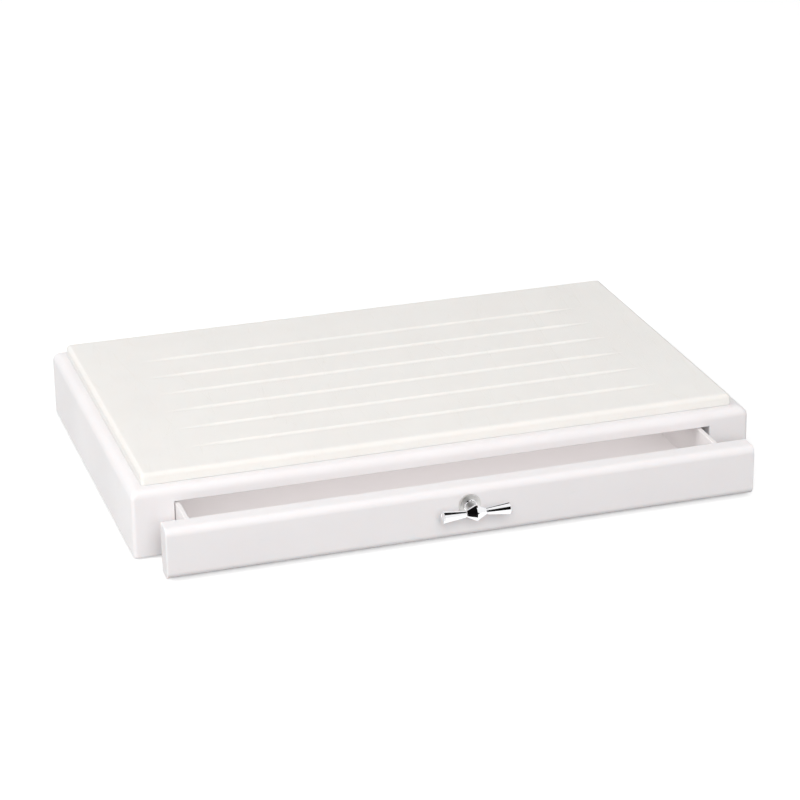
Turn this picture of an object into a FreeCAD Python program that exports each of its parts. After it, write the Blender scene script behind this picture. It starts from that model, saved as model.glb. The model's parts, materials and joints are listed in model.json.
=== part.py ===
import FreeCAD, Part
import math
import os
from FreeCAD import Vector

# A bread board: a grooved cutting board that lies in the top of a low white housing, with a
# drawer that slides out of the housing's front. Sizes are in millimetres. +X runs along the
# long side, -Y is the way the drawer opens, +Z is up and the table is z = 0. The origin is
# the middle of the footprint, with the drawer as far open as it is drawn here.

# Housing, outside
housing_width = 530.0
housing_depth = 325.0
housing_height = 57.5
corner_radius = 3.5
edge_radius = 7.0
lower_edge_radius = 1.0
opening_edge = 0.6

# Housing, inside
side_wall = 20.0
back_wall = 20.0
front_wall = 20.0
stile_width = 35.0
recess_depth = 5.0
deck_thickness = 7.5

# Base panel, let into the underside
panel_thickness = 5.0
panel_inset = 10.0
panel_gap = 0.5
tongue_setback = 2.0

# Feet, let into the base panel
foot_diameter = 20.0
foot_sink = 1.5
foot_stand = 1.5
foot_edge_radius = 0.6
foot_inset_x = 55.0
foot_inset_y = 40.0

# Cutting board. Its lip lies on the rim, and the plug below it keeps the board from sliding.
board_inset = 11.0
board_lip = 4.0
board_gap = 1.0
board_floor_gap = 0.3
board_rise = 9.5
board_corner_radius = 3.0
board_edge_radius = 4.0
board_lower_edge = 0.8
groove_count = 6
groove_pitch = 39.0
groove_front_margin = 41.5
groove_length = 412.0
groove_width = 7.5
groove_depth = 1.2
groove_taper = 34.0
groove_overcut = 0.3

# Drawer travel, counted from where it is drawn
drawer_opened = 31.0
drawer_travel_out = 200.0

# Drawer front
front_width = 498.0
front_thickness = 18.0
front_clear_below = 1.0
front_edge_radius = 6.0
front_end_radius = 0.8
front_rear_edge = 0.5
front_slot_depth = 6.0

# Drawer box. It is drawn close to the left side of the opening, as in the photograph.
drawer_left_gap = 0.5
drawer_right_gap = 6.5
drawer_top_gap = 1.0
drawer_rear_gap = 5.0
drawer_floor_gap = 0.4
sheet = 4.0
sheet_edge_radius = 0.8
block_size = 14.0
block_height = 24.0

# Runners and stops
runner_height = 30.0
runner_gap = 0.5
stop_slot_height = 6.4
stop_slot_depth = 7.0
stop_slot_rise = 18.0
stop_gap = 0.3
pin_diameter = 5.0
pin_reach = 5.5
pin_head_diameter = 9.0
pin_head_thickness = 2.0
pin_from_rear = 30.0

# Knob
knob_drop = 15.0
rosette_diameter = 18.4
rosette_thickness = 2.4
rosette_edge = 0.8
stem_root_diameter = 11.0
stem_waist_diameter = 8.4
stem_waist_reach = 3.0
stem_flare_steps = 6
stem_end_diameter = 9.6
bar_standoff = 16.0
hub_half_length = 8.0
hub_diameter = 13.2
hub_ridge = 1.2
neck_diameter = 5.6
arm_start = 9.0
arm_tip = 28.25
arm_tip_diameter = 10.2
arm_edge = 0.5
neck_groove_depth = 0.5
spigot_diameter = 3.0
spigot_length = 4.0

# Knob fixing
knob_screw_diameter = 4.0
knob_screw_hole = 4.5
knob_screw_bite = 9.0
knob_screw_head_diameter = 8.0
knob_screw_head_height = 2.6
knob_screw_slot_width = 1.2
knob_screw_slot_depth = 1.3
washer_diameter = 12.0
washer_thickness = 1.0
washer_sink = 4.0
washer_gap = 0.3

# Countersunk screws: shank diameter, head diameter, length
panel_screw = (3.5, 7.0, 16.0)
drawer_screw = (3.0, 6.0, 12.0)
front_screw = (3.0, 6.0, 25.0)
head_cone_height = 1.8
screw_point_length = 1.6
screw_tip_diameter = 0.8
drive_width = 2.5
drive_depth = 1.2
screw_hole_gap = 0.2
panel_screw_end_margin = 28.0
panel_side_screw_count = 3
panel_back_screw_count = 3
runner_screw_end_margin = 30.0
runner_screw_count = 3
side_screw_rise = 13.5
end_screw_rise = 19.0

# Places worked out from the sizes
knob_reach = bar_standoff + max(hub_diameter, arm_tip_diameter) / 2
overall_depth = housing_depth + drawer_opened + front_thickness + knob_reach
back_y = overall_depth / 2
front_y = back_y - housing_depth
half_width = housing_width / 2

underside_z = foot_stand
rim_z = underside_z + housing_height
recess_floor_z = rim_z - recess_depth
ceiling_z = recess_floor_z - deck_thickness
panel_top_z = underside_z + panel_thickness

cavity_half = half_width - side_wall
cavity_front_y = front_y + front_wall
cavity_back_y = back_y - back_wall
opening_half = half_width - stile_width

board_half = half_width - board_inset
board_front_y = front_y + board_inset
board_back_y = back_y - board_inset
board_top_z = rim_z + board_rise
plug_half = board_half - board_lip
plug_front_y = board_front_y + board_lip
plug_back_y = board_back_y - board_lip

front_back_y = front_y - drawer_opened
front_face_y = front_back_y - front_thickness
front_half = front_width / 2
front_bottom_z = underside_z + front_clear_below
drawer_top_z = ceiling_z - drawer_top_gap
drawer_left_x = -opening_half + drawer_left_gap
drawer_right_x = opening_half - drawer_right_gap
box_back_y = cavity_back_y - drawer_rear_gap - drawer_opened
floor_bottom_z = panel_top_z + drawer_floor_gap
floor_top_z = floor_bottom_z + sheet
block_top_z = floor_top_z + block_height

stop_z = panel_top_z + stop_slot_rise
pin_y = box_back_y - pin_from_rear
stop_y = pin_y - drawer_travel_out - pin_diameter / 2 - stop_gap

knob_z = drawer_top_z - knob_drop
bar_y = front_face_y - bar_standoff
rosette_front_y = front_face_y - rosette_thickness

UP = Vector(0, 0, 1)
RIGHT = Vector(1, 0, 0)
LEFT = Vector(-1, 0, 0)
BACKWARD = Vector(0, 1, 0)
FORWARD = Vector(0, -1, 0)

# A side is -1 at the left and 1 at the right. An end is -1 at the front and 1 at the back.
SIDES = {"left": -1, "right": 1}
ENDS = {"front": -1, "back": 1}
CORNERS = [(side, end) for end in ENDS.values() for side in SIDES.values()]
# Cutters pass the faces they open by this much, and points this near count as touching.
OVERCUT = 1.0
TOUCH = 1e-6


def block(x0, x1, y0, y1, z0, z1):
    """A box between two corners, whose x values may come in either order."""
    return Part.makeBox(abs(x1 - x0), y1 - y0, z1 - z0, Vector(min(x0, x1), y0, z0))


def rod(diameter, length, start, direction):
    """A round bar from a start point."""
    return Part.makeCylinder(diameter / 2, length, start, direction)


def lathe(profile, centre, direction):
    """A turned piece. The profile is (distance along the axis, radius), from end to end."""
    first = profile[0][0]
    last = profile[-1][0]
    points = [Vector(0, 0, first)] + [Vector(r, 0, a) for a, r in profile] + [Vector(0, 0, last)]
    face = Part.Face(Part.makePolygon(points + points[:1]))
    solid = face.revolve(Vector(0, 0, 0), UP, 360)
    solid.Placement = FreeCAD.Placement(centre, FreeCAD.Rotation(UP, direction))
    return solid


def rectangle(x_half, z0, z1, y):
    """A rectangle that stands in the plane at y."""
    return Part.makePolygon([Vector(-x_half, y, z0), Vector(x_half, y, z0), Vector(x_half, y, z1),
                             Vector(-x_half, y, z1), Vector(-x_half, y, z0)])


def edges_where(shape, test):
    """The edges whose two ends both pass a test."""
    return [e for e in shape.Edges if len(e.Vertexes) == 2 and all(test(v.Point) for v in e.Vertexes)]


def edges_along(shape, direction):
    """The straight edges that run along a direction."""
    picked = []
    for edge in shape.Edges:
        ends = [v.Point for v in edge.Vertexes]
        if len(ends) == 2 and (ends[1] - ends[0]).cross(direction).Length < TOUCH:
            picked.append(edge)
    return picked


def spread(first, last, count):
    """Evenly spaced values from first to last."""
    return [first + (last - first) * i / (count - 1) for i in range(count)]


def screw(kind, head_place, direction):
    """A countersunk screw. head_place is the middle of its flat head, direction its way in."""
    shank, head, length = kind
    body = lathe([(0, head / 2), (head_cone_height, shank / 2), (length - screw_point_length, shank / 2),
                  (length, screw_tip_diameter / 2)], head_place, direction)
    hexagon = Part.makePolygon([FreeCAD.Rotation(UP, 60 * i).multVec(Vector(drive_width / 3 ** 0.5, 0, 0))
                                for i in range(7)])
    socket = Part.Face(hexagon).extrude(Vector(0, 0, drive_depth))
    socket.Placement = FreeCAD.Placement(head_place, FreeCAD.Rotation(UP, direction))
    return body.cut(socket)


def screw_through(kind, head_place, direction, thickness):
    """What a screw's hole takes out of the piece that its head sits in."""
    shank, head, length = kind
    cone = lathe([(0, head / 2), (head_cone_height, shank / 2)], head_place, direction)
    return cone.fuse(rod(shank + 2 * screw_hole_gap, thickness, head_place, direction))


def screw_bite(kind, head_place, direction):
    """What a screw's thread takes out of the piece that it holds in."""
    shank, head, length = kind
    return lathe([(0, shank / 2), (length - screw_point_length, shank / 2),
                  (length, screw_tip_diameter / 2)], head_place, direction)


def inward(side):
    """The direction from one side to the middle."""
    return Vector(-side, 0, 0)


def side_x(side):
    """The outer face of one side of the drawer."""
    return drawer_right_x if side > 0 else drawer_left_x


def panel_screw_places():
    """Heads of the screws that hold the base panel to the walls."""
    x = half_width - (panel_inset + side_wall) / 2
    y_rear = back_y - (panel_inset + back_wall) / 2
    y_front = front_y + panel_screw_end_margin
    places = [Vector(side * x, y, underside_z) for side in SIDES.values()
              for y in spread(y_front, y_rear, panel_side_screw_count)]
    between = spread(-x, x, panel_back_screw_count + 2)[1:-1]
    return places + [Vector(x_back, y_rear, underside_z) for x_back in between]


def runner_screw_places(side):
    """Heads of the screws that hold one runner, under the base panel."""
    slot_end = side_x(side) + side * (runner_gap + stop_slot_depth)
    x = (slot_end + side * cavity_half) / 2
    first = cavity_front_y + runner_screw_end_margin
    last = cavity_back_y - runner_screw_end_margin
    return [Vector(x, y, underside_z) for y in spread(first, last, runner_screw_count)]


def foot_place(side, end):
    """The middle of one foot on the table."""
    y = front_y + foot_inset_y if end < 0 else back_y - foot_inset_y
    return Vector(side * (half_width - foot_inset_x), y, 0)


def housing_shell():
    """Deck, walls and stiles in one piece, open to the front and underneath."""
    shell = block(-half_width, half_width, front_y, back_y, underside_z, rim_z)
    shell = shell.makeFillet(corner_radius, edges_along(shell, UP))
    rim = edges_where(shell, lambda p: abs(p.z - rim_z) < TOUCH)
    shell = shell.makeFillet(edge_radius, rim)
    lower = edges_where(shell, lambda p: abs(p.z - underside_z) < TOUCH)
    shell = shell.makeFillet(lower_edge_radius, lower)

    recess = block(-plug_half - board_gap, plug_half + board_gap, plug_front_y - board_gap,
                   plug_back_y + board_gap, recess_floor_z, rim_z + OVERCUT)
    recess = recess.makeFillet(board_corner_radius + board_gap, edges_along(recess, UP))
    cavity = block(-cavity_half, cavity_half, cavity_front_y, cavity_back_y,
                   underside_z - OVERCUT, ceiling_z)
    opening = block(-opening_half, opening_half, front_y, cavity_front_y,
                    underside_z - OVERCUT, ceiling_z)
    mouth = Part.makeLoft([rectangle(opening_half + opening_edge, underside_z - OVERCUT,
                                     ceiling_z + opening_edge, front_y),
                           rectangle(opening_half, underside_z - OVERCUT, ceiling_z,
                                     front_y + opening_edge)], True, True)
    seat = block(-half_width + panel_inset, half_width - panel_inset, front_y + panel_inset,
                 back_y - panel_inset, underside_z - OVERCUT, panel_top_z)
    shell = shell.cut([recess, cavity, opening, mouth, seat])
    return shell.cut([screw_bite(panel_screw, p, UP) for p in panel_screw_places()])


def base_panel():
    """The sheet that closes the underside, with a tongue that carries the drawer's mouth."""
    inset = panel_inset + panel_gap
    plate = block(-half_width + inset, half_width - inset, front_y + inset, back_y - inset,
                  underside_z, panel_top_z)
    tongue = block(-opening_half + panel_gap, opening_half - panel_gap, front_y + tongue_setback,
                   front_y + inset, underside_z, panel_top_z)
    panel = plate.fuse(tongue).removeSplitter()
    places = panel_screw_places() + runner_screw_places(-1) + runner_screw_places(1)
    holes = [screw_through(panel_screw, p, UP, panel_thickness) for p in places]
    sinks = [rod(foot_diameter, foot_stand + foot_sink, foot_place(*corner), UP) for corner in CORNERS]
    return panel.cut(holes + sinks)


def foot(side, end):
    """A rubber disc, let into the base panel."""
    disc = rod(foot_diameter, foot_stand + foot_sink, foot_place(side, end), UP)
    lower = [e for e in disc.Edges if len(e.Vertexes) == 1 and abs(e.Vertexes[0].Z) < TOUCH]
    return disc.makeFillet(foot_edge_radius, lower)


def runner(side):
    """The bar beside the drawer, with the slot that its stop pin runs in."""
    near = side_x(side) + side * runner_gap
    bar = block(near, side * cavity_half, cavity_front_y, cavity_back_y,
                panel_top_z, panel_top_z + runner_height)
    slot = block(near, near + side * stop_slot_depth, stop_y, cavity_back_y,
                 stop_z - stop_slot_height / 2, stop_z + stop_slot_height / 2)
    return bar.cut([slot] + [screw_bite(panel_screw, p, UP) for p in runner_screw_places(side)])


def board_groove(y):
    """The cutter of one groove: round, and tapering to a point at both ends."""
    radius = (groove_width ** 2 / 4 + groove_depth ** 2) / (2 * groove_depth)
    lift = radius - groove_depth
    end_radius = lift - groove_overcut
    run_out = groove_taper * (radius - end_radius) / groove_depth
    half = groove_length / 2 - groove_taper
    return lathe([(-half - run_out, end_radius), (-half, radius), (half, radius),
                  (half + run_out, end_radius)], Vector(0, y, board_top_z + lift), RIGHT)


def cutting_board():
    """The loose board, which lies on the rim, reaches into the deck's recess and lifts out."""
    board = block(-board_half, board_half, board_front_y, board_back_y, rim_z, board_top_z)
    board = board.makeFillet(board_corner_radius, edges_along(board, UP))
    upper = edges_where(board, lambda p: abs(p.z - board_top_z) < TOUCH)
    board = board.makeFillet(board_edge_radius, upper)
    plug_z = recess_floor_z + board_floor_gap
    plug = block(-plug_half, plug_half, plug_front_y, plug_back_y, plug_z, board_top_z - board_edge_radius)
    plug = plug.makeFillet(board_corner_radius, edges_along(plug, UP))
    lower = edges_where(plug, lambda p: abs(p.z - plug_z) < TOUCH)
    plug = plug.makeChamfer(board_lower_edge, lower)
    board = board.fuse(plug).removeSplitter()
    first = board_front_y + groove_front_margin
    return board.cut([board_groove(first + i * groove_pitch) for i in range(groove_count)])


def block_middle(side, end):
    """Plan position of the middle of one corner block."""
    x = side_x(side) - side * (sheet + block_size / 2)
    if end < 0:
        return x, front_back_y + block_size / 2
    return x, box_back_y - sheet - block_size / 2


def floor_screw_place(side, end):
    """Head of the screw that comes up through the drawer's floor into a corner block."""
    x, y = block_middle(side, end)
    return Vector(x, y, floor_bottom_z)


def side_screw_place(side, end):
    """Head of the screw that passes through a side of the drawer into a corner block."""
    return Vector(side_x(side), block_middle(side, end)[1], floor_top_z + side_screw_rise)


def back_screw_place(side):
    """Head of the screw that passes through the drawer's back into a corner block."""
    return Vector(block_middle(side, 1)[0], box_back_y, floor_top_z + end_screw_rise)


def front_screw_place(side):
    """Head of the screw that passes through a corner block into the drawer front."""
    return Vector(block_middle(side, -1)[0], front_back_y + block_size, floor_top_z + end_screw_rise)


def corner_block(side, end):
    """A block in a corner of the drawer, which its sheets are screwed to."""
    x, y = block_middle(side, end)
    half = block_size / 2
    body = block(x - half, x + half, y - half, y + half, floor_top_z, block_top_z)
    cutters = [screw_bite(drawer_screw, floor_screw_place(side, end), UP),
               screw_bite(drawer_screw, side_screw_place(side, end), inward(side))]
    if end < 0:
        cutters.append(screw_through(front_screw, front_screw_place(side), FORWARD, block_size))
    else:
        cutters.append(screw_bite(drawer_screw, back_screw_place(side), FORWARD))
    return body.cut(cutters)


def drawer_front():
    """The thick front that laps over the stiles, with its long face edges rounded and its ends square."""
    front = block(-front_half, front_half, front_face_y, front_back_y, front_bottom_z, drawer_top_z)
    face_edges = [e for e in edges_along(front, RIGHT) if abs(e.Vertexes[0].Y - front_face_y) < TOUCH]
    front = front.makeFillet(front_edge_radius, face_edges)
    rear_edges = edges_where(front, lambda p: abs(p.y - front_back_y) < TOUCH)
    front = front.makeChamfer(front_rear_edge, rear_edges)
    end_edges = edges_where(front, lambda p: abs(abs(p.x) - front_half) < TOUCH)
    front = front.makeFillet(front_end_radius, end_edges)
    slot = block(drawer_left_x, drawer_right_x, front_back_y - front_slot_depth, front_back_y,
                 floor_bottom_z, floor_top_z)
    back_of_hole = Vector(0, front_back_y, knob_z)
    hole = rod(knob_screw_hole, front_thickness, back_of_hole, FORWARD)
    sink = rod(washer_diameter + 2 * washer_gap, washer_sink, back_of_hole, FORWARD)
    bites = [screw_bite(front_screw, front_screw_place(side), FORWARD) for side in SIDES.values()]
    return front.cut([slot, hole, sink] + bites)


def drawer_bottom():
    """The drawer's floor, let into a slot in the front."""
    floor = block(drawer_left_x, drawer_right_x, front_back_y - front_slot_depth, box_back_y,
                  floor_bottom_z, floor_top_z)
    return floor.cut([screw_through(drawer_screw, floor_screw_place(*c), UP, sheet) for c in CORNERS])


def drawer_side(side):
    """One side of the drawer, which stands on the floor between the front and the back."""
    outer = side_x(side)
    wall = block(outer - side * sheet, outer, front_back_y, box_back_y - sheet, floor_top_z, drawer_top_z)
    upper = [e for e in edges_along(wall, FORWARD) if abs(e.Vertexes[0].Z - drawer_top_z) < TOUCH]
    wall = wall.makeFillet(sheet_edge_radius, upper)
    cutters = [screw_through(drawer_screw, side_screw_place(side, end), inward(side), sheet)
               for end in ENDS.values()]
    cutters.append(rod(pin_diameter, sheet, Vector(outer, pin_y, stop_z), inward(side)))
    return wall.cut(cutters)


def drawer_back():
    """The drawer's back, across the ends of both sides."""
    wall = block(drawer_left_x, drawer_right_x, box_back_y - sheet, box_back_y,
                 floor_top_z, drawer_top_z)
    upper = [e for e in edges_along(wall, RIGHT) if abs(e.Vertexes[0].Z - drawer_top_z) < TOUCH]
    wall = wall.makeFillet(sheet_edge_radius, upper)
    return wall.cut([screw_through(drawer_screw, back_screw_place(side), FORWARD, sheet)
                     for side in SIDES.values()])


def stop_pin(side):
    """The pin through a side of the drawer that meets the end of the runner's slot."""
    inner = Vector(side_x(side) - side * sheet, pin_y, stop_z)
    shank = rod(pin_diameter, sheet + pin_reach, inner, -inward(side))
    head = rod(pin_head_diameter, pin_head_thickness, inner, inward(side))
    return shank.fuse(head).removeSplitter()


def knob_rosette():
    """The round plate between the knob and the drawer front."""
    seat = Vector(0, front_face_y, knob_z)
    radius = rosette_diameter / 2
    plate = lathe([(0, radius), (rosette_thickness - rosette_edge, radius),
                   (rosette_thickness, radius - rosette_edge)], seat, FORWARD)
    return plate.cut(rod(knob_screw_hole, rosette_thickness, seat, FORWARD))


def knob_hub():
    """The flared stem and the double cone on its end, bored for both arms and the screw."""
    root = Vector(0, rosette_front_y, knob_z)
    flare = (stem_root_diameter - stem_waist_diameter) / 2
    turns = [math.radians(90 * i / stem_flare_steps) for i in range(stem_flare_steps + 1)]
    profile = [(stem_waist_reach * (1 - math.cos(a)), stem_root_diameter / 2 - flare * math.sin(a))
               for a in turns]
    stem = lathe(profile + [(bar_standoff - rosette_thickness, stem_end_diameter / 2)], root, FORWARD)
    neck = neck_diameter / 2
    ridge = hub_diameter / 2
    cones = lathe([(-hub_half_length, neck), (-hub_ridge / 2, ridge), (hub_ridge / 2, ridge),
                   (hub_half_length, neck)], Vector(0, bar_y, knob_z), RIGHT)
    cutters = [rod(knob_screw_diameter, knob_screw_bite, root, FORWARD)]
    for side in SIDES.values():
        end = Vector(side * hub_half_length, bar_y, knob_z)
        cutters.append(rod(spigot_diameter, spigot_length, end, inward(side)))
    return stem.fuse(cones).cut(cutters)


def knob_arm(side):
    """A flared arm with a thin neck and a spigot that is fixed in the hub."""
    tip = arm_tip_diameter / 2
    neck = neck_diameter / 2
    waist = neck - neck_groove_depth
    profile = [(hub_half_length - spigot_length, spigot_diameter / 2),
               (hub_half_length, spigot_diameter / 2), (hub_half_length, waist), (arm_start, waist),
               (arm_start, neck), (arm_tip - arm_edge, tip), (arm_tip, tip - arm_edge)]
    return lathe(profile, Vector(0, bar_y, knob_z), -inward(side))


def knob_washer():
    """The washer at the bottom of the sink in the back of the drawer front."""
    seat = Vector(0, front_back_y - washer_sink, knob_z)
    ring = rod(washer_diameter, washer_thickness, seat, BACKWARD)
    return ring.cut(rod(knob_screw_hole, washer_thickness, seat, BACKWARD))


def knob_screw():
    """The machine screw that pulls the knob against the drawer front."""
    seat_y = front_back_y - washer_sink + washer_thickness
    head_y = seat_y + knob_screw_head_height
    seat = Vector(0, seat_y, knob_z)
    shank = rod(knob_screw_diameter, seat_y - rosette_front_y + knob_screw_bite, seat, FORWARD)
    head = rod(knob_screw_head_diameter, knob_screw_head_height, seat, BACKWARD)
    slot = block(-knob_screw_head_diameter, knob_screw_head_diameter, head_y - knob_screw_slot_depth,
                 head_y, knob_z - knob_screw_slot_width / 2, knob_z + knob_screw_slot_width / 2)
    return shank.fuse(head).removeSplitter().cut(slot)


# Every piece, by the name of its file. Screws of one kind and the stop pins share a file.
pieces = {"housing_shell": housing_shell(), "base_panel": base_panel(), "cutting_board": cutting_board()}
pieces["base_panel_screws"] = Part.makeCompound([screw(panel_screw, p, UP) for p in panel_screw_places()])
pieces["runner_screws"] = Part.makeCompound([screw(panel_screw, p, UP) for side in SIDES.values()
                                             for p in runner_screw_places(side)])
for side_name, side in SIDES.items():
    pieces["runner_" + side_name] = runner(side)
    pieces["drawer_side_" + side_name] = drawer_side(side)
    pieces["knob_arm_" + side_name] = knob_arm(side)
    for end_name, end in ENDS.items():
        pieces["foot_%s_%s" % (end_name, side_name)] = foot(side, end)
        pieces["corner_block_%s_%s" % (end_name, side_name)] = corner_block(side, end)
pieces["drawer_front"] = drawer_front()
pieces["drawer_bottom"] = drawer_bottom()
pieces["drawer_back"] = drawer_back()
pieces["drawer_floor_screws"] = Part.makeCompound([screw(drawer_screw, floor_screw_place(*c), UP)
                                                   for c in CORNERS])
pieces["drawer_side_screws"] = Part.makeCompound([screw(drawer_screw, side_screw_place(*c), inward(c[0]))
                                                  for c in CORNERS])
pieces["drawer_back_screws"] = Part.makeCompound([screw(drawer_screw, back_screw_place(side), FORWARD)
                                                  for side in SIDES.values()])
pieces["drawer_front_screws"] = Part.makeCompound([screw(front_screw, front_screw_place(side), FORWARD)
                                                   for side in SIDES.values()])
pieces["stop_pins"] = Part.makeCompound([stop_pin(side) for side in SIDES.values()])
pieces["knob_rosette"] = knob_rosette()
pieces["knob_hub"] = knob_hub()
pieces["knob_washer"] = knob_washer()
pieces["knob_screw"] = knob_screw()

os.makedirs("parts", exist_ok=True)
for name, shape in pieces.items():
    shape.exportStep("parts/%s.step" % name)
    box = shape.BoundBox
    print("%-26s solids %d valid %s  x %.2f..%.2f  y %.2f..%.2f  z %.2f..%.2f" % (
        name, len(shape.Solids), shape.isValid(), box.XMin, box.XMax, box.YMin, box.YMax,
        box.ZMin, box.ZMax))
print("pieces:", len(pieces))
print("overall depth %.2f, housing from y %.2f to %.2f" % (overall_depth, front_y, back_y))
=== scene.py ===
# %% [markdown]
# # A bread board with a drawer
# A low white box of moulded plastic. A thick grooved cutting board lies in its top, and a shallow
# drawer slides out of the long front by a small chrome knob. The construction comes in finished:
# every piece has its real size and place. What is made here is how it looks: the light, the
# finishes, and a smoother skin for the pieces that the eye rests on.

# %% Load the construction
import json
import math
import bpy
from mathutils import Matrix, Vector


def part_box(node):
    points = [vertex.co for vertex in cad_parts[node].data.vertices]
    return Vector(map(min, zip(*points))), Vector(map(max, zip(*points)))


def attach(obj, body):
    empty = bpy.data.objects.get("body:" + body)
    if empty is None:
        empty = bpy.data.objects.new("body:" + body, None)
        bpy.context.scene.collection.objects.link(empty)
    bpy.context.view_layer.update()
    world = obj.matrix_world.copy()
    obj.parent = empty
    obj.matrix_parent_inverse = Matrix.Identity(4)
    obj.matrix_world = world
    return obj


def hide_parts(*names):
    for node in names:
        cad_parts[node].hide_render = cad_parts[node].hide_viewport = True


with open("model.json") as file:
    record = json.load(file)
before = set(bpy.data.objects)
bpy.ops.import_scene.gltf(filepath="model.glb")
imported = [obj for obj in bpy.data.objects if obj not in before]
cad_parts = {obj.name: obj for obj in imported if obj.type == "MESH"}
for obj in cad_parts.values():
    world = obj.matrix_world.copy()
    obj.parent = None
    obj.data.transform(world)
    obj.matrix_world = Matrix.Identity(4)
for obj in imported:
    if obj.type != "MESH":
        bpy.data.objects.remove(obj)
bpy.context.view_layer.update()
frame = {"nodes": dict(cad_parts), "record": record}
nodes = frame["nodes"]
bpy.ops.object.select_all(action="DESELECT")
print("construction pieces:", len(nodes))

# %% [markdown]
# ## The camera
# The picture looks down on the box from its front, a little from the left, with a long lens: the
# far edge is hardly shorter than the near one. The camera is aimed at a point near the middle of
# the box. Its direction is given as an azimuth, an elevation and a small roll, because those are
# the three numbers that a photographer would turn.

# %% Camera
camera_azimuth = math.radians(-17.421)
camera_elevation = math.radians(22.405)
camera_roll = math.radians(-0.748)
camera_distance = 2.34796
camera_target = Vector((0.00908, 0.03581, 0.03766))
camera_lens = 121.378

toward_camera = Vector((math.sin(camera_azimuth) * math.cos(camera_elevation),
                        -math.cos(camera_azimuth) * math.cos(camera_elevation),
                        math.sin(camera_elevation)))
level_right = toward_camera.cross(Vector((0, 0, -1))).normalized()
level_up = toward_camera.cross(level_right)
right = math.cos(camera_roll) * level_right + math.sin(camera_roll) * level_up
up = toward_camera.cross(right)
bpy.ops.object.camera_add()
camera = bpy.context.object
camera.name = "camera"
camera.data.lens = camera_lens
camera.matrix_world = (Matrix.Translation(camera_target + toward_camera * camera_distance)
                       @ Matrix((right, up, toward_camera)).transposed().to_4x4())
bpy.context.scene.camera = camera
print("camera at", [round(v, 3) for v in camera.location])

# %% [markdown]
# ## The light
# White plastic is a hard subject, because nothing on it may clip. The room is an even white sky
# that gives nearly half of the light. Three large soft lamps give the rest: one in front draws
# the bright lines along the rounded edges, one on the left makes that side the paler one, and one
# behind keeps the far part of the board from falling off. The room and the floor are white to the
# camera, and to mirrors, through the Light Path node, so the light on the object stays plain.

# %% Light
room_strength = 0.49
lamp_distance = 3.0
lamp_size = 1.5
# Azimuth and elevation in degrees, and the level that the lamp alone gives a white card facing it.
lamps = {"front_lamp": (-12, 29, 0.56), "left_lamp": (-85, 28, 0.37), "back_lamp": (170, 50, 0.08)}


def node_material(name):
    """A new material with an empty node tree, as (material, tree)."""
    material = bpy.data.materials.new(name)
    material.use_nodes = True
    material.node_tree.nodes.clear()
    return material, material.node_tree


def direction(azimuth, elevation):
    """The unit vector at that azimuth, counted from the front to the right, and elevation."""
    turn = math.radians(azimuth)
    climb = math.radians(elevation)
    return Vector((math.sin(turn) * math.cos(climb), -math.cos(turn) * math.cos(climb),
                   math.sin(climb)))


def maths(tree, operation, *values):
    """A Math node. A value is a number or a socket."""
    node = tree.nodes.new("ShaderNodeMath")
    node.operation = operation
    for socket, value in zip(node.inputs, values):
        if isinstance(value, bpy.types.NodeSocket):
            tree.links.new(value, socket)
        else:
            socket.default_value = value
    return node.outputs[0]


scene = bpy.context.scene
scene.view_settings.view_transform = "Standard"
room = bpy.data.worlds.new("white_room")
scene.world = room
room.use_nodes = True
tree = room.node_tree
tree.nodes.clear()
path = tree.nodes.new("ShaderNodeLightPath").outputs
seen = maths(tree, "MAXIMUM", path["Is Camera Ray"], path["Is Transmission Ray"])
seen = maths(tree, "MAXIMUM", seen, path["Is Glossy Ray"])
lit = tree.nodes.new("ShaderNodeBackground")
lit.inputs["Color"].default_value = (1, 1, 1, 1)
lit.inputs["Strength"].default_value = room_strength
shown = tree.nodes.new("ShaderNodeBackground")
shown.inputs["Color"].default_value = (1, 1, 1, 1)
choose = tree.nodes.new("ShaderNodeMixShader")
tree.links.new(seen, choose.inputs["Fac"])
tree.links.new(lit.outputs[0], choose.inputs[1])
tree.links.new(shown.outputs[0], choose.inputs[2])
out = tree.nodes.new("ShaderNodeOutputWorld")
tree.links.new(choose.outputs[0], out.inputs["Surface"])

for name, (azimuth, elevation, level) in lamps.items():
    away = direction(azimuth, elevation)
    bpy.ops.object.light_add(type="AREA", location=camera_target + away * lamp_distance)
    lamp = bpy.context.object
    lamp.name = name
    lamp.data.size = lamp_size
    lamp.data.energy = level * math.pi ** 2 * lamp_distance ** 2
    lamp.rotation_euler = away.to_track_quat("Z", "Y").to_euler()
    lamp.visible_glossy = False
print("lamps:", ", ".join(lamps))

# %% [markdown]
# ## Light inside the white box
# White plastic lets some light through, so the inside of the real box is never dark. Letting
# the rays pass the walls would cost a lot of time. A wide weak lamp just under the deck does
# the same: it faces the drawer's floor, and neither the camera nor a mirror sees it.

# %% Glow inside
shell_low, shell_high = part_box("housing_shell")
floor_low, floor_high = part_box("drawer_bottom")
glow_level = 0.13
glow_depth = 0.14
glow_from_front = 0.02
glow_below_rim = 0.013
bpy.ops.object.light_add(type="AREA", location=(
    (floor_low.x + floor_high.x) / 2, shell_low.y + glow_from_front + glow_depth / 2,
    shell_high.z - glow_below_rim))
glow = bpy.context.object
glow.name = "cavity_glow"
glow.data.shape = "RECTANGLE"
glow.data.size = floor_high.x - floor_low.x
glow.data.size_y = glow_depth
glow.data.energy = glow_level * math.pi ** 2 * glow.data.size * glow.data.size_y
glow.visible_camera = False
glow.visible_glossy = False
print("glow size", round(glow.data.size, 3), "by", glow.data.size_y)

# %% [markdown]
# ## The floor
# One wide sheet of white paper. It takes the soft shadow as any paper would. To the camera, and
# to mirrors, it also shines a little, so that it reads as white as the room and only the deep
# shadow under the box's edge stays grey.

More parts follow.
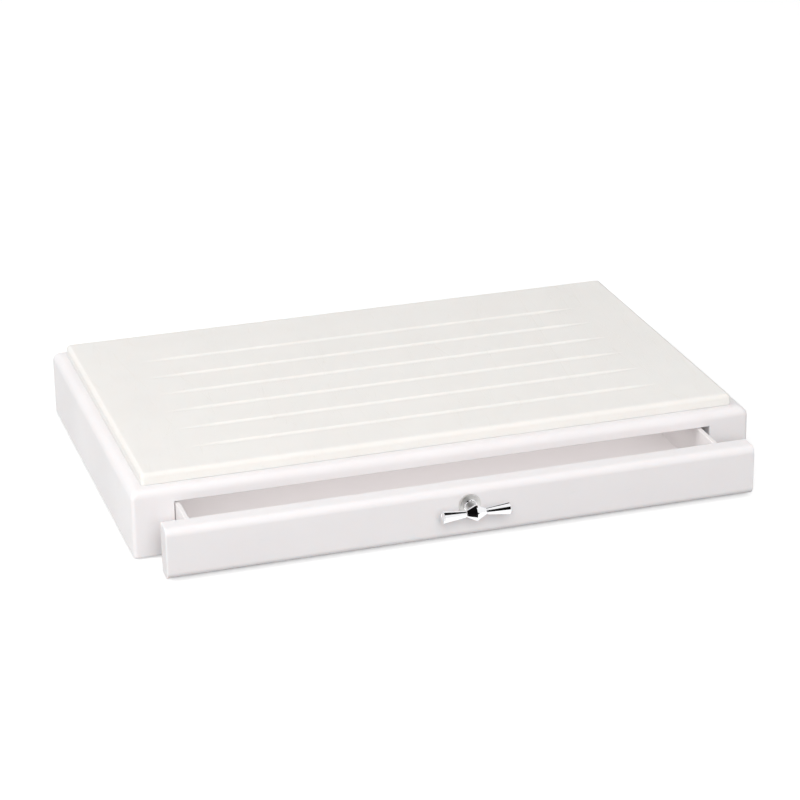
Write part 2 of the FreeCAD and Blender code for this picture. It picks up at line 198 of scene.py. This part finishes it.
# %% Floor
floor_seen = 0.75
floor_lit = 0.35
floor_lift = 0.46
floor_size = 8.0
bpy.ops.mesh.primitive_plane_add(size=floor_size)
floor = bpy.context.object
floor.name = "floor"
paper, tree = node_material("white_paper")
path = tree.nodes.new("ShaderNodeLightPath").outputs
shown_to = maths(tree, "MAXIMUM", path["Is Camera Ray"], path["Is Glossy Ray"])
diffuse = tree.nodes.new("ShaderNodeBsdfDiffuse")
paper_tone = maths(tree, "MULTIPLY_ADD", shown_to, floor_seen - floor_lit, floor_lit)
tree.links.new(paper_tone, diffuse.inputs["Color"])
lift = tree.nodes.new("ShaderNodeEmission")
tree.links.new(maths(tree, "MULTIPLY", shown_to, floor_lift), lift.inputs["Strength"])
both = tree.nodes.new("ShaderNodeAddShader")
tree.links.new(diffuse.outputs[0], both.inputs[0])
tree.links.new(lift.outputs[0], both.inputs[1])
out = tree.nodes.new("ShaderNodeOutputMaterial")
tree.links.new(both.outputs[0], out.inputs["Surface"])
floor.data.materials.append(paper)

# %% [markdown]
# ## Dark cards for the chrome
# Chrome has no colour of its own: in a white room it would vanish. A photographer stands black
# cards where the metal should look dark. Each card here is seen by mirror rays alone, so it
# darkens nothing else. One lies and one stands in front, one hangs over each shoulder, and one
# hangs high behind, for the thin dark line along the top of the right arm.

# %% Cards
card_reach = 0.9
on_floor = 0.001
card_colour = (0.01, 0.009, 0.009, 1)
# The four corners of each card as the knob sees them: azimuth and elevation in degrees, and the
# level distance where it isn't card_reach. A corner with no elevation lies on the floor.
cards = {
    "card_on_floor": [(-50, None, 0.026), (13, None, 0.225), (-55, None), (18, None)],
    "card_in_front": [(-55, None), (18, None), (-55, 50), (18, 42)],
    "card_over_left": [(-55, 40), (-35, 58), (-165, 40), (-185, 58)],
    "card_over_right": [(45, 46), (45, 62), (150, 46), (150, 62)],
    "card_behind": [(150, 38), (210, 38), (150, 66), (210, 66)],
}

black, tree = node_material("black_card")
dull = tree.nodes.new("ShaderNodeBsdfDiffuse")
dull.inputs["Color"].default_value = card_colour
out = tree.nodes.new("ShaderNodeOutputMaterial")
tree.links.new(dull.outputs[0], out.inputs["Surface"])

bar_low, bar_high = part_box("knob_arm_right")
knob_middle = Vector((0, (bar_low.y + bar_high.y) / 2, (bar_low.z + bar_high.z) / 2))


def around_knob(azimuth, elevation, reach=card_reach):
    """The point seen from the knob at that azimuth, elevation and level distance."""
    flat = direction(azimuth, 0) * reach
    if elevation is None:
        height = on_floor
    else:
        height = knob_middle.z + reach * math.tan(math.radians(elevation))
    return (knob_middle.x + flat.x, knob_middle.y + flat.y, height)


def black_card(name, corners):
    """A flat card with these corners, seen only in reflections."""
    bpy.ops.object.select_all(action="DESELECT")
    bpy.ops.mesh.primitive_plane_add(size=2)
    card = bpy.context.object
    card.name = name
    for vertex, corner in zip(card.data.vertices, corners):
        vertex.co = corner
    card.data.materials.append(black)
    card.visible_camera = False
    card.visible_diffuse = False
    card.visible_transmission = False
    card.visible_volume_scatter = False
    card.visible_shadow = False


for name, corners in cards.items():
    black_card(name, [around_knob(*corner) for corner in corners])
print("cards stand", card_reach, "m from the knob")

# %% [markdown]
# ## Shader groups
# Several finishes share the same small effects: a soft unevenness of the colour, a fine grain,
# hairline marks, and edges that handling has rubbed to a slightly other tone. Each is built once
# as a node group with its own inputs. All of them read Object coordinates in metres, so that a
# size in a group is a real size on the part.

# %% A helper that starts a node group
group_kinds = {"value": "NodeSocketFloat", "color": "NodeSocketColor", "vector": "NodeSocketVector"}


def start_group(name, inputs, outputs):
    """A group with those sockets and nothing in it, as (group, input sockets, output sockets)."""
    group = bpy.data.node_groups.new(name, "ShaderNodeTree")
    for way, sockets in (("INPUT", inputs), ("OUTPUT", outputs)):
        for label, (kind, value) in sockets.items():
            socket = group.interface.new_socket(name=label, in_out=way,
                                                socket_type=group_kinds[kind])
            if value is not None:
                socket.default_value = value
    given = group.nodes.new("NodeGroupInput").outputs
    made = group.nodes.new("NodeGroupOutput").inputs
    return group, given, made


def noise(tree, vector, scale, detail=2.0, roughness=0.5):
    """A Noise texture's value. The scale is a number or a socket."""
    node = tree.nodes.new("ShaderNodeTexNoise")
    node.inputs["Detail"].default_value = detail
    node.inputs["Roughness"].default_value = roughness
    tree.links.new(vector, node.inputs["Vector"])
    if isinstance(scale, bpy.types.NodeSocket):
        tree.links.new(scale, node.inputs["Scale"])
    else:
        node.inputs["Scale"].default_value = scale
    return node.outputs["Fac"]


def stepped(tree, value, low, high):
    """Rises smoothly from 0 to 1 while the value goes from low to high."""
    node = tree.nodes.new("ShaderNodeMapRange")
    node.interpolation_type = "SMOOTHSTEP"
    tree.links.new(value, node.inputs["Value"])
    node.inputs["From Min"].default_value = low
    node.inputs["From Max"].default_value = high
    return node.outputs["Result"]


# %% [markdown]
# ### Mottle
# No moulded part is quite one colour: the resin flows and cools unevenly, and hands leave a faint
# film. One broad noise mixes two close colours. The same value also leaves the group, so that the
# roughness can follow the colour, as it does on a real surface. A painted texture would do this
# too, but it would need a picture and its own unwrapping.

# %% Mottle: a soft unevenness of colour and roughness
mottle, given, made = start_group(
    "mottle",
    {"Color A": ("color", (0.8, 0.8, 0.8, 1)), "Color B": ("color", (0.7, 0.7, 0.7, 1)),
     "Size": ("value", 0.05)},
    {"Color": ("color", None), "Value": ("value", None)})
where = mottle.nodes.new("ShaderNodeTexCoord").outputs["Object"]
broad = noise(mottle, where, maths(mottle, "DIVIDE", 1.0, given["Size"]), detail=3.0)
cloud_low = 0.32
cloud_high = 0.68
spread_out = stepped(mottle, broad, cloud_low, cloud_high)
mix = mottle.nodes.new("ShaderNodeMix")
mix.data_type = "RGBA"
mottle.links.new(spread_out, mix.inputs["Factor"])
mottle.links.new(given["Color A"], mix.inputs["A"])
mottle.links.new(given["Color B"], mix.inputs["B"])
mottle.links.new(mix.outputs["Result"], made["Color"])
mottle.links.new(spread_out, made["Value"])

# %% [markdown]
# ### Grain
# A mould is never polished flat, and a rolled board carries the grain of its roller. Two noises
# add up, one fine and one coarse. They only leave as a height for a Bump, because real grain of a
# hundredth of a millimetre would need millions of faces.

# %% Grain: the fine skin that the mould or the roller leaves
grain, given, made = start_group(
    "grain",
    {"Size": ("value", 0.0006), "Coarse Size": ("value", 0.005), "Coarse Share": ("value", 0.4)},
    {"Height": ("value", None)})
where = grain.nodes.new("ShaderNodeTexCoord").outputs["Object"]
fine = noise(grain, where, maths(grain, "DIVIDE", 1.0, given["Size"]), detail=1.0)
coarse = noise(grain, where, maths(grain, "DIVIDE", 1.0, given["Coarse Size"]), detail=1.0)
coarse_part = maths(grain, "MULTIPLY", coarse, given["Coarse Share"])
grain.links.new(maths(grain, "ADD", fine, coarse_part), made["Height"])

# %% [markdown]
# ### Hairlines
# Cuts, scuffs, drag marks and extrusion lines are all long thin marks with a direction. A
# noise that is stretched along one axis crosses its middle value along such lines. Whatever lies
# near that value becomes a line, and a second noise takes stretches of it away, so that strokes
# are left. A Wave texture would draw them too evenly.

# %% Hairlines: long thin marks in one direction, broken into strokes
hairlines, given, made = start_group(
    "hairlines",
    {"Turn": ("vector", (0, 0, 0)), "Length": ("value", 0.04), "Gap": ("value", 0.003),
     "Thin": ("value", 0.02), "Share": ("value", 0.5)},
    {"Mask": ("value", None)})
where = hairlines.nodes.new("ShaderNodeTexCoord").outputs["Object"]
turned_space = hairlines.nodes.new("ShaderNodeMapping")
hairlines.links.new(where, turned_space.inputs["Vector"])
hairlines.links.new(given["Turn"], turned_space.inputs["Rotation"])
stretch = hairlines.nodes.new("ShaderNodeCombineXYZ")
across = maths(hairlines, "DIVIDE", 1.0, given["Gap"])
hairlines.links.new(maths(hairlines, "DIVIDE", 1.0, given["Length"]), stretch.inputs["X"])
hairlines.links.new(across, stretch.inputs["Y"])
hairlines.links.new(across, stretch.inputs["Z"])
stretched = hairlines.nodes.new("ShaderNodeVectorMath")
stretched.operation = "MULTIPLY"
hairlines.links.new(turned_space.outputs["Vector"], stretched.inputs[0])
hairlines.links.new(stretch.outputs["Vector"], stretched.inputs[1])
noise_middle = 0.5
wave = noise(hairlines, stretched.outputs["Vector"], 1.0, detail=0.0)
off_middle = maths(hairlines, "ABSOLUTE", maths(hairlines, "SUBTRACT", wave, noise_middle))
on_line = maths(hairlines, "SUBTRACT", 1.0, maths(hairlines, "DIVIDE", off_middle, given["Thin"]))
line = maths(hairlines, "MAXIMUM", on_line, 0.0)
# A stretch with strokes in it is nearly three stroke lengths long.
breaks_scale = 0.37
breaks = noise(hairlines, stretched.outputs["Vector"], breaks_scale, detail=1.0)
kept = maths(hairlines, "GREATER_THAN", given["Share"], breaks)
hairlines.links.new(maths(hairlines, "MULTIPLY", line, kept), made["Mask"])

# %% [markdown]
# ### Edge wear
# Edges are touched most. The Bevel node gives the normal that a rounded edge would have. Where it
# differs from the true normal there is an edge, and a noise breaks the mask into patches. On a
# white box the wear is hardly seen. It is there so that the edges aren't cleaner than the faces.

# %% Edge wear: a mask that rises where the surface turns sharply
edge_wear, given, made = start_group(
    "edge_wear", {"Radius": ("value", 0.001), "Patch Size": ("value", 0.01)},
    {"Mask": ("value", None)})
rounded = edge_wear.nodes.new("ShaderNodeBevel")
rounded.samples = 6
edge_wear.links.new(given["Radius"], rounded.inputs["Radius"])
facing = edge_wear.nodes.new("ShaderNodeVectorMath")
facing.operation = "DOT_PRODUCT"
edge_wear.links.new(rounded.outputs["Normal"], facing.inputs[0])
true_normal = edge_wear.nodes.new("ShaderNodeNewGeometry").outputs["Normal"]
edge_wear.links.new(true_normal, facing.inputs[1])
turning = maths(edge_wear, "SUBTRACT", 1.0, facing.outputs["Value"])
turn_low = 0.01
turn_high = 0.12
edge = stepped(edge_wear, turning, turn_low, turn_high)
where = edge_wear.nodes.new("ShaderNodeTexCoord").outputs["Object"]
patches = noise(edge_wear, where, maths(edge_wear, "DIVIDE", 1.0, given["Patch Size"]), detail=2.0)
patch_low = 0.35
patch_high = 0.65
uneven = stepped(edge_wear, patches, patch_low, patch_high)
edge_wear.links.new(maths(edge_wear, "MULTIPLY", edge, uneven), made["Mask"])
print("shader groups:", ", ".join(g.name for g in bpy.data.node_groups))

# %% [markdown]
# ## The plastics
# The housing and the drawer front are moulded in a satin white, with a little of the light going
# into the plastic, which the subsurface value gives. The board is a warmer, duller white with a
# rolled grain, and slicing has left faint cuts on it. The drawer's sheets are sawn from
# extruded panel, which shows as fine lines along one direction. All share one builder, and each
# has its own numbers.

# %% A helper for the plastics
# How far wear reaches from an edge and how large its patches are, in metres, then how much of
# its tone shows. Wear and marks both leave the surface rougher.
wear_radius = 0.0012
wear_patch = 0.012
wear_share = 0.35
wear_roughness = 0.08
mark_roughness = 0.1
# How far red, green and blue light go into white plastic, next to each other.
light_spread = (1.0, 0.9, 0.85)


def group_node(tree, group, **values):
    """An instance of a group with its inputs set. Names are written with _ for a space."""
    node = tree.nodes.new("ShaderNodeGroup")
    node.node_tree = group
    for key, value in values.items():
        node.inputs[key.replace("_", " ").title()].default_value = value
    return node.outputs


def mixed(tree, factor, base, other, share=1.0):
    """The base colour socket with a share of another colour where the factor is high."""
    mix = tree.nodes.new("ShaderNodeMix")
    mix.data_type = "RGBA"
    tree.links.new(maths(tree, "MULTIPLY", factor, share), mix.inputs["Factor"])
    tree.links.new(base, mix.inputs["A"])
    mix.inputs["B"].default_value = (*other, 1)
    return mix.outputs["Result"]


def between(tree, value, low, high):
    """The value, read as 0 to 1, turned into low to high."""
    return maths(tree, "MULTIPLY_ADD", value, high - low, low)


def bump(tree, height, depth, normal=None):
    """A Bump node's normal for that height in units of depth, in metres."""
    node = tree.nodes.new("ShaderNodeBump")
    node.inputs["Distance"].default_value = depth
    tree.links.new(height, node.inputs["Height"])
    if normal is not None:
        tree.links.new(normal, node.inputs["Normal"])
    return node.outputs["Normal"]


def plastic(name, color_a, color_b, patch, rough, grain_size, grain_depth, coarse_size=0.005,
            coarse_share=0.4, light_depth=0.0, gloss=0.5, worn=None, marks=()):
    """A moulded or extruded plastic.

    Each mark is (turn, length, gap, thin, share, depth, tint, strength).
    """
    material, tree = node_material(name)
    shader = tree.nodes.new("ShaderNodeBsdfPrincipled")
    cloud = group_node(tree, mottle, color_a=(*color_a, 1), color_b=(*color_b, 1), size=patch)
    color = cloud["Color"]
    roughness = between(tree, cloud["Value"], *rough)
    if worn:
        wear = group_node(tree, edge_wear, radius=wear_radius, patch_size=wear_patch)["Mask"]
        color = mixed(tree, wear, color, worn, wear_share)
        rubbed = maths(tree, "MULTIPLY", wear, wear_roughness)
        roughness = maths(tree, "ADD", roughness, rubbed)
    skin = group_node(tree, grain, size=grain_size, coarse_size=coarse_size,
                      coarse_share=coarse_share)
    normal = bump(tree, skin["Height"], grain_depth)
    for turn, length, gap, thin, share, depth, tint, strength in marks:
        stroke = group_node(tree, hairlines, turn=turn, length=length, gap=gap, thin=thin,
                            share=share)["Mask"]
        color = mixed(tree, stroke, color, tint, strength)
        scratched = maths(tree, "MULTIPLY", stroke, mark_roughness)
        roughness = maths(tree, "ADD", roughness, scratched)
        normal = bump(tree, maths(tree, "SUBTRACT", 1.0, stroke), depth, normal)
    tree.links.new(color, shader.inputs["Base Color"])
    tree.links.new(roughness, shader.inputs["Roughness"])
    tree.links.new(normal, shader.inputs["Normal"])
    shader.inputs["Specular IOR Level"].default_value = gloss
    if light_depth:
        shader.inputs["Subsurface Weight"].default_value = 1.0
        shader.inputs["Subsurface Radius"].default_value = light_spread
        shader.inputs["Subsurface Scale"].default_value = light_depth
    out = tree.nodes.new("ShaderNodeOutputMaterial")
    tree.links.new(shader.outputs[0], out.inputs["Surface"])
    return material


# %% [markdown]
# ### Their numbers
# The sizes are real ones in metres. Scuffs run in two directions at a slight angle to the box, as
# things slid over a worktop leave them. The cuts in the board run mostly across it, in
# three directions, for nobody cuts at the same angle twice. The lines of the drawer's sheets run
# along the sheet, and the drag marks of the runners run the way the drawer slides.

# %% The plastics themselves
def turn_z(degrees):
    """A turn about the vertical, as a mapping wants it."""
    return (0, 0, math.radians(degrees))


scuffs = [(turn_z(12), 0.05, 0.006, 0.010, 0.46, 0.00001, (0.80, 0.79, 0.79), 0.25),
          (turn_z(-37), 0.03, 0.008, 0.008, 0.44, 0.00001, (0.80, 0.79, 0.79), 0.25)]
slicing_cuts = [(turn_z(-82), 0.120, 0.0045, 0.014, 0.47, 0.00008, (0.81, 0.77, 0.71), 0.25),
                (turn_z(-97), 0.150, 0.0060, 0.010, 0.45, 0.00008, (0.81, 0.77, 0.71), 0.25),
                (turn_z(-64), 0.110, 0.0080, 0.008, 0.43, 0.00008, (0.82, 0.78, 0.72), 0.20)]
extruded = [(turn_z(0), 0.12, 0.0010, 0.060, 0.90, 0.00001, (0.80, 0.78, 0.77), 0.15)]
slid = [(turn_z(90), 0.10, 0.0012, 0.050, 0.70, 0.00002, (0.70, 0.69, 0.66), 0.35)]

finishes = {
    "housing_plastic": plastic(
        "housing_plastic_look", (0.872, 0.846, 0.850), (0.858, 0.830, 0.834), patch=0.09,
        rough=(0.32, 0.40), grain_size=0.0007, grain_depth=0.000010, light_depth=0.0015,
        worn=(0.90, 0.885, 0.885), marks=scuffs),
    "front_plastic": plastic(
        "front_plastic_look", (0.868, 0.842, 0.846), (0.856, 0.828, 0.833), patch=0.07,
        rough=(0.46, 0.54), grain_size=0.0007, grain_depth=0.000010, light_depth=0.0015,
        gloss=0.2, worn=(0.85, 0.825, 0.83), marks=scuffs),
    "board_plastic": plastic(
        "board_plastic_look", (0.880, 0.856, 0.826), (0.866, 0.841, 0.811), patch=0.06,
        rough=(0.54, 0.66), grain_size=0.0009, grain_depth=0.000030, coarse_size=0.004,
        coarse_share=0.6, light_depth=0.0015, gloss=0.25, worn=(0.86, 0.84, 0.805),
        marks=slicing_cuts),
    "drawer_plastic": plastic(
        "drawer_plastic_look", (0.868, 0.836, 0.832), (0.850, 0.818, 0.814), patch=0.05,
        rough=(0.48, 0.58), grain_size=0.0008, grain_depth=0.000015, worn=(0.89, 0.87, 0.86),
        marks=extruded),
    "runner_plastic": plastic(
        "runner_plastic_look", (0.83, 0.81, 0.78), (0.79, 0.77, 0.74), patch=0.03,
        rough=(0.38, 0.50), grain_size=0.0006, grain_depth=0.000010, marks=slid),
    "foot_rubber": plastic(
        "foot_rubber_look", (0.30, 0.30, 0.30), (0.24, 0.24, 0.24), patch=0.004,
        rough=(0.75, 0.90), grain_size=0.0005, grain_depth=0.000060, coarse_size=0.002,
        coarse_share=0.8, worn=(0.36, 0.36, 0.35)),
}

# %% [markdown]
# ## The metals
# The screws are zinc plated steel: a bluish grey, patchy, with the fine lines that the tool
# left. The knob is polished chrome over a turned body. Its colour is nearly white and its
# roughness close to none. Only the faintest wipe marks and a haze of fingerprints show on it.
# The round plate behind it is satin: it shows no picture of the room, only an even warm grey.

# %% The metals
def metal(name, color_a, color_b, patch, rough, marks, mark_depth, haze):
    """A plated metal. Each mark is (turn, length, gap, thin, share)."""
    material, tree = node_material(name)
    shader = tree.nodes.new("ShaderNodeBsdfPrincipled")
    shader.inputs["Metallic"].default_value = 1.0
    cloud = group_node(tree, mottle, color_a=(*color_a, 1), color_b=(*color_b, 1), size=patch)
    roughness = between(tree, cloud["Value"], *rough)
    normal = None
    for turn, length, gap, thin, share in marks:
        stroke = group_node(tree, hairlines, turn=turn, length=length, gap=gap, thin=thin,
                            share=share)["Mask"]
        roughness = maths(tree, "ADD", roughness, maths(tree, "MULTIPLY", stroke, haze))
        normal = bump(tree, stroke, mark_depth, normal)
    tree.links.new(cloud["Color"], shader.inputs["Base Color"])
    tree.links.new(roughness, shader.inputs["Roughness"])
    tree.links.new(normal, shader.inputs["Normal"])
    out = tree.nodes.new("ShaderNodeOutputMaterial")
    tree.links.new(shader.outputs[0], out.inputs["Surface"])
    return material


finishes["screw_steel"] = metal(
    "screw_steel_look", (0.66, 0.67, 0.70), (0.56, 0.56, 0.57), patch=0.003, rough=(0.25, 0.42),
    marks=[(turn_z(20), 0.006, 0.0003, 0.08, 0.7)], mark_depth=0.000005, haze=0.15)
finishes["knob_chrome"] = metal(
    "knob_chrome_look", (0.92, 0.92, 0.93), (0.89, 0.89, 0.90), patch=0.008, rough=(0.02, 0.06),
    marks=[(turn_z(8), 0.010, 0.0006, 0.015, 0.45)], mark_depth=0.0000004, haze=0.06)
finishes["plate_chrome"] = metal(
    "plate_chrome_look", (0.79, 0.78, 0.76), (0.74, 0.73, 0.71), patch=0.005, rough=(0.46, 0.54),
    marks=[(turn_z(0), 0.012, 0.0005, 0.03, 0.6)], mark_depth=0.000002, haze=0.08)

slot_of = {part["node"]: part["material_slot"] for part in frame["record"]["subparts"]}
for name, piece in nodes.items():
    piece.data.materials.clear()
    piece.data.materials.append(finishes[slot_of[name]])
print("finishes:", ", ".join(sorted(finishes)))

# %% [markdown]
# ## Turned metal
# The knob is turned on a lathe and chromed. A lathe part could be spun from a drawn outline. Here
# each one is grown ring by ring instead: a circle is added at one end, and each step extrudes it
# along the axis and resizes it, just as the tool moves along the metal. The ends are closed by a
# face. A small bevel then breaks the sharp edges, because chrome shows a bright line there, and
# weighted normals keep the long cones clean, so that they reflect without bending the picture.

# %% A helper that turns a piece ring by ring
mm = 0.001
ring_sides = 96
weld_distance = 1e-6


def add_ring(axis, place, radius):
    """A filled circle round the named axis, as a new object, left selected in edit mode."""
    turn = {"x": (0, math.radians(90), 0), "y": (math.radians(90), 0, 0)}[axis]
    bpy.ops.object.select_all(action="DESELECT")
    bpy.ops.mesh.primitive_circle_add(vertices=ring_sides, radius=radius, fill_type="NGON",
                                      location=place, rotation=turn)
    bpy.ops.object.transform_apply(location=True, rotation=True, scale=True)
    bpy.ops.object.mode_set(mode="EDIT")
    bpy.ops.mesh.select_all(action="SELECT")


def turned(name, axis, start, outline):
    """A closed turned piece. The outline is (distance along the axis, radius) in millimetres."""
    heading = {"x": Vector((1, 0, 0)), "y": Vector((0, -1, 0))}[axis]
    reach, radius = outline[0]
    add_ring(axis, start + heading * reach * mm, radius * mm)
    for next_reach, next_radius in outline[1:]:
        step = heading * (next_reach - reach) * mm
        bpy.ops.mesh.extrude_region_move(TRANSFORM_OT_translate={"value": step})
        grow = next_radius / radius
        bpy.ops.transform.resize(value=[1 if along else grow for along in heading],
                                 center_override=start + heading * next_reach * mm)
        reach, radius = next_reach, next_radius
    bpy.ops.mesh.select_all(action="SELECT")
    bpy.ops.mesh.remove_doubles(threshold=weld_distance)
    bpy.ops.mesh.normals_make_consistent(inside=False)
    bpy.ops.object.mode_set(mode="OBJECT")
    piece = bpy.context.object
    piece.name = name
    return piece


def apply_modifier(piece, kind, **settings):
    """Adds a modifier of that kind with those settings and applies it."""
    bpy.context.view_layer.objects.active = piece
    modifier = piece.modifiers.new(kind.lower(), kind)
    for key, value in settings.items():
        setattr(modifier, key, value)
    bpy.ops.object.modifier_apply(modifier=modifier.name)


def break_edges(piece, width, sharper_than=20):
    """Rounds the sharp edges and shades the piece so that its long faces stay clean."""
    apply_modifier(piece, "BEVEL", width=width, segments=3, limit_method="ANGLE",
                   angle_limit=math.radians(sharper_than), use_clamp_overlap=True)
    bpy.ops.object.select_all(action="DESELECT")
    piece.select_set(True)
    bpy.context.view_layer.objects.active = piece
    bpy.ops.object.shade_smooth()
    apply_modifier(piece, "WEIGHTED_NORMAL", mode="FACE_AREA", weight=100, keep_sharp=False)
    print(piece.name, "has", len(piece.data.polygons), "faces")


# %% [markdown]
# ## The knob
# The real knob is a small T handle: a round plate against the drawer front, a waisted stem, a hub
# of two cones with their wide ends together, and an arm on each side that flares outwards. The
# outer reaches and radii come from the boxes of the construction. What a box can't tell, such as
# the stem's waist, the hub's neck and the rounded lips, is written here in millimetres.

# %% The round plate
plate_low, plate_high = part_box("knob_rosette")
plate_seat = Vector(((plate_low.x + plate_high.x) / 2, plate_high.y,
                     (plate_low.z + plate_high.z) / 2))
plate_radius = (plate_high.x - plate_low.x) / 2 / mm
plate_thickness = (plate_high.y - plate_low.y) / mm
lip = 0.9
# The face ends in a small disc that the stem covers.
covered_radius = 2.0
broken_edge = 0.15
rosette = turned("knob_plate_turned", "y", plate_seat, [
    (0, plate_radius), (plate_thickness - lip, plate_radius),
    (plate_thickness - lip / 3, plate_radius - lip / 3), (plate_thickness, plate_radius - lip),
    (plate_thickness, covered_radius)])
break_edges(rosette, broken_edge * mm)

# %% [markdown]
# ### The stem and the hub
# The stem springs from the plate with a small flare, narrows, and widens again towards the hub.
# The hub is two cones with a narrow flat between them, which is the ridge that the eye catches.
# Both are turned pieces round different axes, so a Boolean joins them. On the real knob they are
# one casting, and a join keeps the crisp line where the stem runs into the cones.

# %% The stem and the hub
hub_low, hub_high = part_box("knob_hub")
hub_radius = (hub_high.z - hub_low.z) / 2 / mm
hub_half = (hub_high.x - hub_low.x) / 2 / mm
hub_middle = Vector(((hub_low.x + hub_high.x) / 2, hub_low.y + hub_radius * mm,
                     (hub_low.z + hub_high.z) / 2))
stem_length = (hub_high.y - hub_middle.y) / mm
root_radius = 5.5
waist_radius = 4.2
waist_reach = 3.0
stem_end_radius = 4.8
flare_steps = 10
neck_radius = 2.8
ridge = 1.2
broken_hub_edge = 0.2
flare = [(waist_reach * (1 - math.cos(angle)),
          root_radius - (root_radius - waist_radius) * math.sin(angle))
         for angle in (math.radians(90 * i / flare_steps) for i in range(flare_steps + 1))]
stem = turned("knob_stem_turned", "y", Vector((hub_middle.x, hub_high.y, hub_middle.z)),
              flare + [(stem_length, stem_end_radius)])
hub = turned("knob_hub_turned", "x", hub_middle, [
    (-hub_half, neck_radius), (-ridge / 2, hub_radius), (ridge / 2, hub_radius),
    (hub_half, neck_radius)])
apply_modifier(hub, "BOOLEAN", object=stem, operation="UNION", solver="EXACT")
bpy.data.objects.remove(stem)
break_edges(hub, broken_hub_edge * mm)

# %% [markdown]
# ### The arms
# Each arm leaves the hub with a short groove and then flares to its tip, where the end is turned
# slightly hollow. That thin rim round the end is what shows first in a picture of such a knob.

# %% The arms
groove_length = 1.0
groove_depth = 0.5
tip_chamfer = 0.5
rim_width = 0.8
hollow_slope = 0.7
hollow_depth = 0.5
arms = {}
for side, sign in {"left": -1, "right": 1}.items():
    arm_low, arm_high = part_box("knob_arm_" + side)
    tip_radius = (arm_high.z - arm_low.z) / 2 / mm
    tip = max(abs(arm_low.x), abs(arm_high.x)) / mm
    groove_end = hub_half + groove_length
    groove_radius = neck_radius - groove_depth
    rim_outside = tip_radius - tip_chamfer
    rim_inside = rim_outside - rim_width
    arm = turned("knob_arm_%s_turned" % side, "x", hub_middle, [
        (sign * hub_half, groove_radius), (sign * groove_end, groove_radius),
        (sign * groove_end, neck_radius), (sign * (tip - tip_chamfer), tip_radius),
        (sign * tip, rim_outside), (sign * tip, rim_inside),
        (sign * (tip - hollow_depth), rim_inside - hollow_slope)])
    break_edges(arm, broken_edge * mm)
    arms[side] = arm

# %% [markdown]
# ### In the construction's place
# The turned pieces stand for the construction's own. Each one rides on the drawer, so it moves
# when the drawer does, and names the finish that it takes.

# %% Put the knob in the construction's place
turned_pieces = {"knob_rosette": rosette, "knob_hub": hub, "knob_arm_left": arms["left"],
                 "knob_arm_right": arms["right"]}
for node, piece in turned_pieces.items():
    piece.data.materials.clear()
    piece.data.materials.append(finishes[slot_of[node]])
    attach(piece, "drawer")
    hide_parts(node)
    print(piece.name, "stands for", node)
